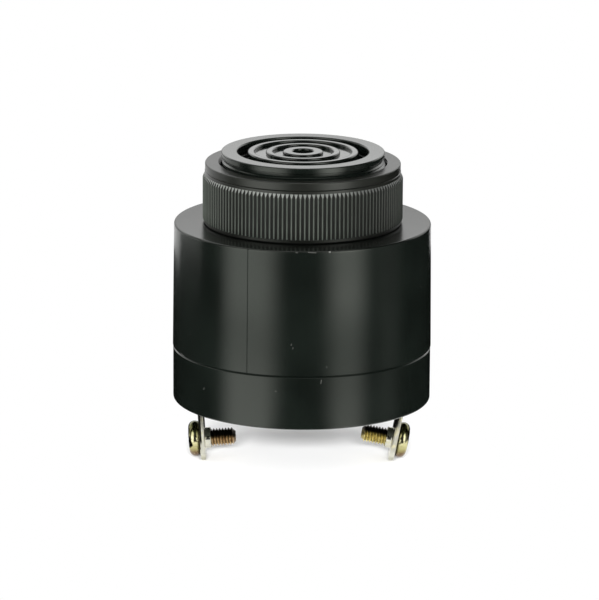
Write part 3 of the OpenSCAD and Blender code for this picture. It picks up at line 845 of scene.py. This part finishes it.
def knurled_black():
    """Satin black nut: crests greyed partly by wear and partly as painted highlight, lighter towards the
    foot and painted darker on the right as shade; run-out facets painted bright as a highlight, more on
    the left; and painted shade in the grooves and on the foot's chamfer. The place across a rib is the
    angle's share of the rib pitch."""
    dark, light = (0.0078, 0.009, 0.0072), (0.0125, 0.0138, 0.0112)
    # crest greys: part wear, part painted highlight; the right one paints the right side in shade
    upper_wear_and_highlight, lower_wear_and_highlight = (0.08, 0.094, 0.079), (0.118, 0.138, 0.117)
    right_shaded_wear = (0.036, 0.042, 0.036)
    # painted highlight on the run-out facets, brighter on the left
    left_tip_highlight, right_tip_highlight = (0.25, 0.263, 0.245), (0.1, 0.106, 0.1)
    # painted shade in the grooves and on the foot's downward chamfer
    groove_painted_shade, foot_painted_shade = (0.002, 0.0024, 0.002), (0.002, 0.0022, 0.002)
    finish = Finish("nut_moulding", IOR=1.5, Specular_Tint=(0.97, 1.0, 0.92))
    cloud, fine = finish.noise(7, 4), finish.noise(0.35, 3, 0.6)
    under_top = 1 - finish.z.rise(z_knurl_top - 0.05, z_knurl_top + 0.05)
    ribbed = finish.z.rise(lip_h, rib_foot) * under_top
    count = finish.y.math("ARCTAN2", finish.y, finish.x) * (knurl_count / TURN) + (knurl_count + 0.5)
    share = abs(count.math("FRACT", count) - 0.5)
    crest = 1 - share.rise(0.09, 0.27)
    groove = ribbed * (1 - crest)
    along = (finish.z - z_runout) / (z_knurl_top - z_runout)
    cone = crest_r + (ledge_r - crest_r) * along
    on_cone = 1 - abs(finish.x.hypot(finish.y) - cone).rise(0.01, 0.04)
    pointed = 1 - share.rise(0.02 + 0.3 * along, 0.1 + 0.36 * along)
    facet = ribbed * along.rise(-0.1, 0.4) * on_cone * pointed
    foot = 1 - finish.z.rise(0.22, 0.32)
    # crests greyed by wear and painted highlight, lighter towards the foot, painted darker on the right as shade
    wear_and_highlight = (1 - finish.z.rise(1.5, 5)).blend(upper_wear_and_highlight, lower_wear_and_highlight)
    wear_and_highlight = finish.x.rise(2, 16).blend(wear_and_highlight, right_shaded_wear)
    # painted highlight on the run-out facets, fading towards the right
    tip_highlight = finish.x.rise(-4, 14).blend(left_tip_highlight, right_tip_highlight)
    colour = (ribbed * crest).blend(cloud.rise(0.3, 0.7).blend(dark, light), wear_and_highlight)
    # painted shade in the grooves between the ribs
    colour = facet.blend(groove.blend(colour, groove_painted_shade), tip_highlight)
    rough = 0.33 + 0.04 * (cloud - 0.5) + 0.04 * (fine - 0.5) + 0.35 * groove * (1 - facet)
    # painted shade on the foot's chamfer
    finish.set(Base_Color=foot.blend(colour, foot_painted_shade), Roughness=rough + 0.3 * foot)
    finish.bump(fine + 0.3 * finish.noise(0.12, 2), 0.003)
    return finish.material


def tinned_sheet():
    """Tin-plated brass sheet: rolling streaks along the strip, dull patches, a warm cast where the
    plating is thin, a dull tip, and painted shade on the sheared edges, outside on the left and inside
    on the right."""
    dull_tin, bright_tin, thin_tin = (0.44, 0.43, 0.36), (0.72, 0.71, 0.62), (0.64, 0.60, 0.40)
    # the second colour here is painted shade for the sheared edges
    tip_tin, edge_shade_black = (0.36, 0.35, 0.24), (0.012, 0.012, 0.009)
    z_tip = z_bottom - tab_length
    finish = Finish("tinned_sheet", Metallic=1.0)
    streaks = finish.noise(0.5, 4, 0.6, (1, 1, 9))
    patches = finish.noise(2.2, 3)
    warm = finish.noise(1.1, 2).rise(0.52, 0.75)
    tip = 1 - finish.z.rise(z_tip - 0.05, z_tip + 1.55)
    right, out, up = finish.by_clamp()
    # painted shade on the sheared edges: outside on the left, inside on the right
    outside = (1 - right) * out.rise(-0.45, -0.3) * up.rise(-0.5, 0.5)
    inside = right * (1 - out.rise(-0.62, -0.45)) * up.rise(2.4, 3.4)
    painted_edge_shade = abs(finish.y).rise(tab_half - 0.14, tab_half - 0.04) * (outside + inside)
    colour = warm.blend(patches.rise(0.35, 0.7).blend(dull_tin, bright_tin), thin_tin)
    colour = painted_edge_shade.blend(tip.blend(colour, tip_tin), edge_shade_black)
    finish.set(Base_Color=colour, Roughness=0.09 + 0.09 * streaks + 0.07 * patches)
    finish.bump(streaks, 0.003)
    return finish.material


def yellow_zinc():
    """Yellow passivated zinc: a passivation tint banded by height, which also paints the head's light:
    rose brown at its lower edge, a bright gold painted highlight in the middle and olive to dark painted
    shade at its top; copper on the shank, with dull spots. Painted shade darkens it by the head's seat,
    in the thread's groove and on the shank's upper side."""
    # passivation tint and painted light: bands by height paint the head dark at its lower edge and top and bright
    # gold between
    film_and_light_low, film_and_light_height = -40.9, 6.4
    stops = [
        (0.0, (0.07, 0.035, 0.025)), (0.2, (0.18, 0.12, 0.06)), (0.38, (0.44, 0.41, 0.18)),
        (0.6, (0.74, 0.70, 0.42)), (0.8, (0.2, 0.2, 0.08)), (1.0, (0.1, 0.1, 0.04)),
    ]
    left_dark, right_dark = (0.42, 0.27, 0.14), (0.5, 0.41, 0.15)
    left_pale, right_pale = (0.64, 0.50, 0.29), (0.84, 0.74, 0.34)
    # painted shade colours for the thread's groove on each screw
    left_groove_shade, right_groove_shade = (0.2, 0.135, 0.07), (0.42, 0.35, 0.13)
    # painted shade: by the head's seat and on the shank's upper side
    seat_painted_shade, shade_brown = (0.03, 0.027, 0.015), (0.045, 0.034, 0.022)
    dull_gold = (0.36, 0.31, 0.19)
    finish = Finish("yellow_zinc", Metallic=1.0)
    film_and_light = (finish.z - film_and_light_low) / film_and_light_height + 0.3 * (finish.noise(1.3, 3, 0.55) - 0.5)
    right, out, up = finish.by_clamp()
    shank = 1 - out.rise(-0.08, -0.02)
    # painted shade in the crease by the head's seat
    near_seat_shade = 1 - out.rise(0.1, 0.55)
    mottled = finish.noise(0.6, 2).rise(0.35, 0.6)
    dull = finish.noise(0.5, 3).rise(0.55, 0.75) * out.rise(-0.08, 0.8)
    # painted shade in the thread's groove and on the shank's upper side
    groove = shank * (1 - up.hypot(finish.y).rise(screw_r - 0.31, screw_r - 0.12))
    shade = shank * (up - 0.25 * right).rise(0, 0.7)
    copper = mottled.blend(right.blend(left_dark, right_dark), right.blend(left_pale, right_pale))
    colour = film_and_light.node("ShaderNodeValToRGB", {"stops": stops}, {"Fac": film_and_light})
    colour = shank.blend(near_seat_shade.blend(colour, seat_painted_shade), copper)
    colour = groove.blend(dull.blend(colour, dull_gold), right.blend(left_groove_shade, right_groove_shade))
    finish.set(
        Base_Color=shade.blend(colour, shade_brown),
        Roughness=0.15 + 0.06 * dull + 0.15 * shank,
    )
    finish.bump(finish.noise(0.3, 3), 0.004)
    return finish.material


def brushed_metal(name, dark, light, base_rough):
    """Plain sheet or wire metal with fine marks and small stains."""
    finish = Finish(name, Metallic=1.0)
    marks = finish.noise(0.4, 4, 0.6, (6, 1, 1))
    stains = finish.noise(3.5, 3)
    colour = stains.rise(0.35, 0.7).blend(dark, light)
    finish.set(Base_Color=colour, Roughness=base_rough + 0.15 * marks)
    finish.bump(marks, 0.003)
    return finish.material


def plain_coat(name, dark, light, base_rough, grain=0.004):
    """Painted, moulded or sintered surface: two close tones and a fine grain."""
    finish = Finish(name)
    cloud, fine = finish.noise(2.5, 4), finish.noise(0.25, 3)
    colour = cloud.rise(0.3, 0.7).blend(dark, light)
    finish.set(Base_Color=colour, Roughness=base_rough + 0.12 * (fine - 0.5))
    finish.bump(fine, grain)
    return finish.material


def wound_copper():
    """Enamelled copper turns: one ridge for each wire's width of height."""
    wire_width = 0.18
    dark_copper, light_copper = (0.50, 0.19, 0.07), (0.64, 0.29, 0.12)
    finish = Finish("wound_copper", Metallic=1.0)
    turns = finish.z.math("SINE", finish.z * (TURN / wire_width))
    tone = finish.noise(0.8, 3).rise(0.3, 0.7)
    finish.set(Base_Color=tone.blend(dark_copper, light_copper), Roughness=0.3 + 0.1 * tone)
    finish.bump(0.5 + 0.5 * turns, 0.04)
    return finish.material


def leaded_part(name, node, coat_dark, coat_light, bands=()):
    """Axial component: lacquered body with colour bands around it, and tinned leads past its ends."""
    lead_length = 2.1
    lead_tin = (0.7, 0.69, 0.66)
    low, high = node_box(node)
    half = (high[0] - low[0]) / 2 - lead_length
    finish = Finish(name)
    along = finish.x - (low[0] + high[0]) / 2
    body = 1 - abs(along).rise(half, half + 0.05)
    colour = finish.noise(1.2, 3).rise(0.3, 0.7).blend(coat_dark, coat_light)
    for place, band in bands:
        stripe = 1 - abs(along - place).rise(0.28, 0.34)
        colour = stripe.blend(colour, band)
    finish.set(
        Base_Color=body.blend(lead_tin, colour),
        Metallic=1 - body,
        Roughness=0.32 + 0.1 * finish.noise(0.4),
    )
    return finish.material


def board_laminate():
    """Circuit board: green lacquer over a cloudy laminate with a fine weave."""
    thread_width = 0.6
    thread_turn = TURN / thread_width
    dark_green, light_green = (0.05, 0.16, 0.06), (0.09, 0.24, 0.09)
    finish = Finish("board_laminate")
    weave = finish.x.math("SINE", finish.x * thread_turn) * finish.y.math("SINE", finish.y * thread_turn)
    tone = finish.noise(2.0, 3)
    colour = tone.rise(0.3, 0.7).blend(dark_green, light_green)
    finish.set(Base_Color=colour, Roughness=0.35 + 0.1 * tone)
    finish.bump(0.5 + 0.5 * weave, 0.01)
    return finish.material


# Pieces, and the nicks in the front of the wall: strength, x, z, slope, length and width

wall_nicks = (
    (0.35, -19.6, -20.9, -19, 1.3, 0.22),
    (0.45, 3.2, -21.9, 80, 0.8, 0.18),
    (0.4, -1.7, -15.6, 70, 0.4, 0.17),
    (0.35, -1.45, -16.2, 70, 0.4, 0.17),
    (0.3, -4.2, -23.6, 0, 0.3, 0.22),
    (0.25, -16.1, -25.1, 60, 0.5, 0.25),
    (1.0, 4.45, -0.16, 0, 0.4, 0.24),
    (0.4, 1.6, -0.18, -3, 1.6, 0.18),
    (0.3, -0.9, -0.2, 0, 0.5, 0.2),
)
black = moulded_black("black_moulding", (0.0066, 0.0095, 0.0076), 0.2, 0.0045, 0.04, wall_nicks)
nut_black = knurled_black()
tin = tinned_sheet()
zinc = yellow_zinc()

add_piece("housing_shell", housing_patches(), black, "body", "housing")
add_piece("knurled_nut", nut_patches(), nut_black, "ring_nut", "ring_nut")

screw_crease = 50
for name, side in (("left", -1), ("right", 1)):
    axis = joint_axis[f"{name}_screw_travel"]
    axis = axis / np.linalg.norm(axis)
    lean = math.asin(-axis[2])
    sheet = [*blade_patches(lean, side), stem_patch(lean, side)]
    screw = screw_patches(mount_place[f"{name}_wire_clamp"], axis)
    add_piece(f"{name}_terminal_sheet", sheet, tin, "body", f"{name}_terminal")
    add_piece(f"{name}_pan_screw", screw, zinc,
              f"{name}_terminal_screw", f"{name}_terminal_screw", screw_crease)

brown, yellow, violet, gold = (0.12, 0.04, 0.02), (0.7, 0.5, 0.03), (0.2, 0.06, 0.3), (0.6, 0.42, 0.12)
coat_dark, coat_light = (0.42, 0.29, 0.15), (0.52, 0.38, 0.21)
inner_finishes = {
    "base_cap": black,
    "diaphragm_retainer": moulded_black("retainer_moulding", (0.018, 0.02, 0.019), 0.45, 0.003),
    "piezo_diaphragm": brushed_metal("diaphragm_brass", (0.62, 0.42, 0.15), (0.76, 0.56, 0.24), 0.25),
    "piezo_ceramic": brushed_metal("fired_silver", (0.72, 0.71, 0.68), (0.86, 0.85, 0.82), 0.42),
    "circuit_board": board_laminate(),
    "coil_core": plain_coat("sintered_ferrite", (0.04, 0.038, 0.036), (0.075, 0.072, 0.068), 0.6, 0.012),
    "coil_winding": wound_copper(),
    "capacitor": plain_coat("shrink_sleeve", (0.02, 0.028, 0.09), (0.035, 0.045, 0.13), 0.3),
    "transistor": plain_coat("moulded_epoxy", (0.014, 0.014, 0.014), (0.028, 0.028, 0.028), 0.55, 0.008),
    "resistor_a": leaded_part("resistor_a_coat", "resistor_a", coat_dark, coat_light,
                              ((-2, brown), (-1, yellow), (0, brown), (1.6, gold))),
    "resistor_b": leaded_part("resistor_b_coat", "resistor_b", coat_dark, coat_light,
                              ((-2, yellow), (-1, violet), (0, brown), (1.6, gold))),
    "diode": leaded_part("diode_coat", "diode", (0.015, 0.015, 0.015), (0.03, 0.03, 0.03),
                         ((1.7, (0.6, 0.6, 0.58)),)),
    "ceramic_wire": plain_coat("red_insulation", (0.34, 0.02, 0.015), (0.45, 0.04, 0.03), 0.35),
    "ground_wire": plain_coat("black_insulation", (0.018, 0.018, 0.018), (0.032, 0.032, 0.032), 0.35),
}
for name, material in inner_finishes.items():
    frame["nodes"][name].material_slots[0].material = material


# Studio, whose angles are in degrees from the camera's side and grow to its right

camera_side = TURN / 4
sphere_z = -12
flag_black = (0.003, 0.003, 0.003)
gauze_soft = 16


def add_camera():
    """Camera at the photograph's viewing angle: its distance, elevation and roll, the height that it
    is raised from, its lens, and the point at the picture's centre."""
    distance = 800
    elevation = math.radians(14.383)
    roll = math.radians(0.369)
    pivot_z = -14.43
    looks_at = Vector((-0.425, 0, -13.56)) * MM
    stands = Vector((0, -distance * math.cos(elevation), distance * math.sin(elevation) + pivot_z)) * MM
    ahead = (looks_at - stands).normalized()
    right = ahead.cross(Vector((0, 0, 1))).normalized()
    up = right.cross(ahead)
    tilted = right * math.cos(roll) + up * math.sin(roll)
    axes = Matrix((tilted, tilted.cross(ahead), -ahead)).transposed()
    lens = bpy.data.cameras.new("camera")
    lens.sensor_fit = "HORIZONTAL"
    lens.sensor_width = 36
    lens.lens = 287.42
    lens.clip_start = 0.05
    lens.clip_end = 20
    camera = bpy.data.objects.new("camera", lens)
    camera.matrix_world = Matrix.Translation(stands) @ axes.to_4x4()
    bpy.context.scene.collection.objects.link(camera)
    bpy.context.scene.camera = camera


def seen_directly(tree):
    """1 for rays that show the background: straight from the camera, mirrored or refracted."""
    path = add_node(tree, "ShaderNodeLightPath")
    kinds = ("Camera", "Glossy", "Transmission")
    camera, glossy, through = (Wire(path.outputs[f"Is {kind} Ray"]) for kind in kinds)
    return camera.math("MINIMUM", camera + glossy + through, 1.0)


def add_world(ambient):
    """White surroundings, which light the object softly at the ambient level."""
    world = bpy.data.worlds.new("studio")
    world.use_nodes = True
    bpy.context.scene.world = world
    tree = world.node_tree
    sky = next(n for n in tree.nodes if n.type == "BACKGROUND")
    plug(sky, "Color", (1, 1, 1))
    plug(sky, "Strength", ambient + (1 - ambient) * seen_directly(tree))


def add_floor(radius, share):
    """Round pale floor sheet under the terminals: lit by the lamps, and where it shows directly mixed
    with white, by share near the object and wholly at its rim."""
    paper = (0.92, 0.92, 0.92)
    gap = 0.02
    material = bpy.data.materials.new("floor_sheet")
    material.use_nodes = True
    tree = material.node_tree
    tree.nodes.remove(next(n for n in tree.nodes if n.type == "BSDF_PRINCIPLED"))
    place, x, y, _ = place_wires(tree)
    white = share + (1 - share) * x.hypot(y).rise(0.68 * radius, 0.98 * radius)
    matt = place.node("ShaderNodeBsdfDiffuse", None, {"Color": paper})
    glow = place.node("ShaderNodeEmission")
    mixed = place.node("ShaderNodeMixShader", None, {0: white * seen_directly(tree), 1: matt, 2: glow})
    plug(next(n for n in tree.nodes if n.type == "OUTPUT_MATERIAL"), "Surface", mixed)
    rings = np.linspace(0, radius, 12)[:, None]
    points = spin(rings, np.full_like(rings, floor_z - gap), np.linspace(0, TURN, 129))
    floor = add_object("floor", make_mesh("floor", [patch(points)]), material)
    return floor


def add_front_lamp(floor, power):
    """Soft low lamp in front that lights the floor alone, so that the object's shadow falls behind
    it."""
    distance = 600 * MM
    elevation = math.radians(20)
    lamp = bpy.data.lights.new("front_lamp", "AREA")
    lamp.shape = "RECTANGLE"
    lamp.size = 240 * MM
    lamp.size_y = 50 * MM
    lamp.energy = power
    shown = bpy.data.objects.new("front_lamp", lamp)
    aim_at = Vector((0, 0, floor_z * MM))
    stands = aim_at + distance * Vector((0, -math.cos(elevation), math.sin(elevation)))
    aim = (aim_at - stands).to_track_quat("-Z", "Y")
    shown.matrix_world = Matrix.Translation(stands) @ aim.to_matrix().to_4x4()
    shown.visible_glossy = shown.visible_camera = False
    lit = bpy.data.collections.new("lit_by_front_lamp")
    lit.objects.link(floor)
    shown.light_linking.receiver_collection = lit
    bpy.context.scene.collection.objects.link(shown)


def add_card(name, points, colour, shine=None, lights=False, cover=None):
    """Studio card that the camera itself doesn't see: it shows in mirrored surfaces. Values at its
    points give its brightness, as shine, and how dense it is, as cover. A card that lights gives
    light to matt surfaces too."""
    finish = Finish(name, Base_Color=colour, Roughness=1.0, Specular_IOR_Level=0.0)
    mesh = join(name, [patch(points)])
    card = add_object(name, mesh, finish.material)
    card.visible_camera = card.visible_shadow = False
    card.visible_diffuse = lights
    if shine is not None:
        glow = finish.point_values(mesh, "shine", shine, "Color")
        finish.set(Emission_Color=glow, Emission_Strength=1.0)
    if cover is not None:
        finish.set(Alpha=finish.point_values(mesh, "cover", cover, "Fac"))


def soft_band(value, limits, soft):
    """1 between two limits, fading to 0 across them over the width soft, and a half at the limits."""
    low, high = limits
    return ramp((value - low) / soft + 0.5) * ramp((high - value) / soft + 0.5)


def add_panel(name, distance, angles, heights, strength, soft, lights):
    """Soft light as part of a sphere around the object: angles around and heights over the horizon,
    both in degrees and out to half its strength, and the width over which it fades."""
    across = np.linspace(angles[0] - soft / 2, angles[1] + soft / 2, 41)
    upward = np.linspace(heights[0] - soft / 2, heights[1] + soft / 2, 25)[:, None]
    up, around = np.radians(upward), np.radians(across) - camera_side
    points = spin(distance * np.cos(up), distance * np.sin(up) + sphere_z, around)
    shine = strength * soft_band(across, angles, soft) * soft_band(upward, heights, soft)
    add_card(name, points, (0, 0, 0), shine, lights)


def add_flag(name, distance, angles, heights):
    """Black card around the object, part of a cylinder between two angles and two heights."""
    around = np.radians(np.linspace(*angles, 49)) - camera_side
    add_card(name, spin(np.full((2, 1), distance), np.array(heights)[:, None], around), flag_black)


def add_table_flag(name, radii, angles, soft=0):
    """Black card that lies around the object on the floor, between two radii and two angles, and the
    angle over which both its ends thin out."""
    gap = 0.05
    across = np.linspace(*angles, 97)
    around = np.radians(across) - camera_side
    points = spin(np.array(radii)[:, None], np.full((2, 1), floor_z + gap), around)
    cover = np.ones_like(across)
    if soft:
        cover = ramp(np.minimum(across - angles[0], angles[1] - across) / soft)
    add_card(name, points, flag_black, cover=np.stack([cover, cover]))


def add_gauze(name, distance, angles, levels):
    """Black gauze before a soft light, part of a cylinder: angles out to half its effect, and pairs
    of a height, upwards, and the share of the light that it holds back there."""
    across = np.linspace(angles[0] - gauze_soft / 2, angles[1] + gauze_soft / 2, 33)
    heights, shares = np.array(levels).T
    upward = np.linspace(heights[0], heights[-1], 33)[:, None]
    points = spin(np.full_like(upward, distance), upward, np.radians(across) - camera_side)
    cover = np.interp(upward, heights, shares) * soft_band(across, angles, gauze_soft)
    add_card(name, points, (0, 0, 0), cover=cover)


add_camera()
add_world(ambient=0.98)
add_front_lamp(add_floor(radius=34, share=0.04), power=8)
add_flag("front_flag", distance=620, angles=(-100, 160), heights=(-520, 1300))
add_table_flag("back_table_flag", radii=(22, 158), angles=(98, 225))
add_table_flag("left_table_flag", radii=(22, 188), angles=(225, 288))
add_table_flag("front_table_flag", radii=(20, 62), angles=(-28, 28), soft=16)
add_flag("low_flag", distance=31, angles=(100, 260), heights=(floor_z, -32.5))
add_panel("left_softbox", distance=450, angles=(-70, -24), heights=(-44, 50),
          strength=2.15, soft=24, lights=True)
add_panel("right_softbox", distance=450, angles=(25, 55), heights=(-44, 48),
          strength=2.9, soft=24, lights=True)
add_panel("right_fill", distance=460, angles=(60, 92), heights=(-44, 26),
          strength=0.2, soft=24, lights=False)
add_gauze("left_gauze", distance=102, angles=(-78, -6),
          levels=((-54, 0.2), (-45, 0.05), (-42, 0.05), (-39, 0.52), (-32, 0.48), (-28, 0),
                  (-24.5, 0), (-22, 0.3), (-18, 0.3), (-15, 0)))
add_gauze("right_gauze", distance=102, angles=(6, 68),
          levels=((-58, 0.5), (-42, 0.56), (-38, 0.8), (-31.5, 0.78), (-28.5, 0),
                  (-24.5, 0), (-22, 0.7), (-18, 0.7), (-15, 0)))
add_gauze("back_gauze", distance=100, angles=(115, 245), levels=((4, 0.45), (27, 0.45), (33, 0)))
add_panel("back_softbox", distance=520, angles=(120, 240), heights=(4, 32),
          strength=1.62, soft=14, lights=False)
bpy.context.scene.view_settings.view_transform = "Standard"
